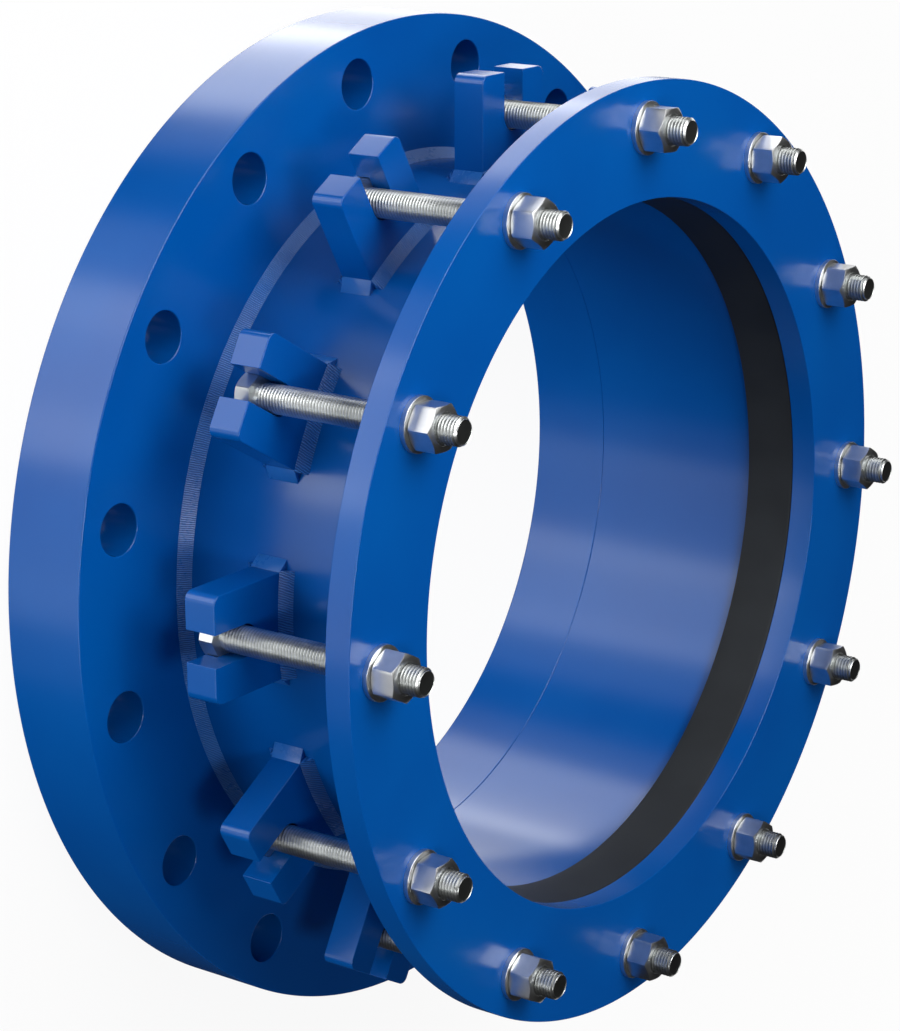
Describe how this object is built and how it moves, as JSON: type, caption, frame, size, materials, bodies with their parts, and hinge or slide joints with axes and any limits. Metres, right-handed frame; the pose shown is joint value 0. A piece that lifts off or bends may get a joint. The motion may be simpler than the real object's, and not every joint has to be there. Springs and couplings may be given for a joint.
{
  "type": "flange adaptor",
  "caption": "Flange adaptor that joins a plain pipe end to a drilled flange, with a gland ring drawn up by bolts held in fork lugs to squeeze a rubber wedge gasket.",
  "frame": {"origin": "centre of the flange's mating face, on the common axis", "axes": "+Z along the common axis from the mating face towards the gland ring; +Y through the first gland bolt, midway between two flange bolt holes; +X completes the right-handed set"},
  "size_m": [0.5968, 0.5968, 0.2403],
  "materials": {
    "blue_coating": "satin blue powder coat over steel",
    "zinc_bolt": "bright zinc plate, fully threaded",
    "zinc_washer": "bright zinc plate, stamped",
    "zinc_nut": "bright zinc plate, cold formed",
    "gasket_rubber": "matt moulded rubber"
  },
  "bodies": {
    "sleeve_body": {"flange": "blue_coating", "sleeve": "blue_coating", "flange_weld": "blue_coating", "gasket": "gasket_rubber", "lug_welds": "blue_coating", "gland_bolts": "zinc_bolt", "lug_01": "blue_coating", "lug_02": "blue_coating", "lug_03": "blue_coating", "lug_04": "blue_coating", "lug_05": "blue_coating", "lug_06": "blue_coating", "lug_07": "blue_coating", "lug_08": "blue_coating", "lug_09": "blue_coating", "lug_10": "blue_coating", "lug_11": "blue_coating", "lug_12": "blue_coating"},
    "gland": {"gland_ring": "blue_coating", "gland_washers": "zinc_washer"},
    "nut_01_body": {"nut_01": "zinc_nut"},
    "nut_02_body": {"nut_02": "zinc_nut"},
    "nut_03_body": {"nut_03": "zinc_nut"},
    "nut_04_body": {"nut_04": "zinc_nut"},
    "nut_05_body": {"nut_05": "zinc_nut"},
    "nut_06_body": {"nut_06": "zinc_nut"},
    "nut_07_body": {"nut_07": "zinc_nut"},
    "nut_08_body": {"nut_08": "zinc_nut"},
    "nut_09_body": {"nut_09": "zinc_nut"},
    "nut_10_body": {"nut_10": "zinc_nut"},
    "nut_11_body": {"nut_11": "zinc_nut"},
    "nut_12_body": {"nut_12": "zinc_nut"}
  },
  "joints": [
    {"name": "gland_slide", "type": "slide", "parent": "sleeve_body", "child": "gland", "axis": [0, 0, 1], "range_m": [0, 0.0119]},
    {"name": "nut_01_turn", "type": "hinge", "parent": "gland", "child": "nut_01_body", "pos_m": [0, 0.2472, 0.221], "axis": [0, 0, 1], "range_deg": [0, 2142.1]},
    {"name": "nut_02_turn", "type": "hinge", "parent": "gland", "child": "nut_02_body", "pos_m": [-0.1236, 0.21408, 0.221], "axis": [0, 0, 1], "range_deg": [0, 2142.1]},
    {"name": "nut_03_turn", "type": "hinge", "parent": "gland", "child": "nut_03_body", "pos_m": [-0.21408, 0.1236, 0.221], "axis": [0, 0, 1], "range_deg": [0, 2142.1]},
    {"name": "nut_04_turn", "type": "hinge", "parent": "gland", "child": "nut_04_body", "pos_m": [-0.2472, 0, 0.221], "axis": [0, 0, 1], "range_deg": [0, 2142.1]},
    {"name": "nut_05_turn", "type": "hinge", "parent": "gland", "child": "nut_05_body", "pos_m": [-0.21408, -0.1236, 0.221], "axis": [0, 0, 1], "range_deg": [0, 2142.1]},
    {"name": "nut_06_turn", "type": "hinge", "parent": "gland", "child": "nut_06_body", "pos_m": [-0.1236, -0.21408, 0.221], "axis": [0, 0, 1], "range_deg": [0, 2142.1]},
    {"name": "nut_07_turn", "type": "hinge", "parent": "gland", "child": "nut_07_body", "pos_m": [0, -0.2472, 0.221], "axis": [0, 0, 1], "range_deg": [0, 2142.1]},
    {"name": "nut_08_turn", "type": "hinge", "parent": "gland", "child": "nut_08_body", "pos_m": [0.1236, -0.21408, 0.221], "axis": [0, 0, 1], "range_deg": [0, 2142.1]},
    {"name": "nut_09_turn", "type": "hinge", "parent": "gland", "child": "nut_09_body", "pos_m": [0.21408, -0.1236, 0.221], "axis": [0, 0, 1], "range_deg": [0, 2142.1]},
    {"name": "nut_10_turn", "type": "hinge", "parent": "gland", "child": "nut_10_body", "pos_m": [0.2472, 0, 0.221], "axis": [0, 0, 1], "range_deg": [0, 2142.1]},
    {"name": "nut_11_turn", "type": "hinge", "parent": "gland", "child": "nut_11_body", "pos_m": [0.21408, 0.1236, 0.221], "axis": [0, 0, 1], "range_deg": [0, 2142.1]},
    {"name": "nut_12_turn", "type": "hinge", "parent": "gland", "child": "nut_12_body", "pos_m": [0.1236, 0.21408, 0.221], "axis": [0, 0, 1], "range_deg": [0, 2142.1]}
  ],
  "couplings": [
    {"joint": "nut_01_turn", "follows": "gland_slide", "rad_per_m": 3141.6},
    {"joint": "nut_02_turn", "follows": "gland_slide", "rad_per_m": 3141.6},
    {"joint": "nut_03_turn", "follows": "gland_slide", "rad_per_m": 3141.6},
    {"joint": "nut_04_turn", "follows": "gland_slide", "rad_per_m": 3141.6},
    {"joint": "nut_05_turn", "follows": "gland_slide", "rad_per_m": 3141.6},
    {"joint": "nut_06_turn", "follows": "gland_slide", "rad_per_m": 3141.6},
    {"joint": "nut_07_turn", "follows": "gland_slide", "rad_per_m": 3141.6},
    {"joint": "nut_08_turn", "follows": "gland_slide", "rad_per_m": 3141.6},
    {"joint": "nut_09_turn", "follows": "gland_slide", "rad_per_m": 3141.6},
    {"joint": "nut_10_turn", "follows": "gland_slide", "rad_per_m": 3141.6},
    {"joint": "nut_11_turn", "follows": "gland_slide", "rad_per_m": 3141.6},
    {"joint": "nut_12_turn", "follows": "gland_slide", "rad_per_m": 3141.6}
  ]
}
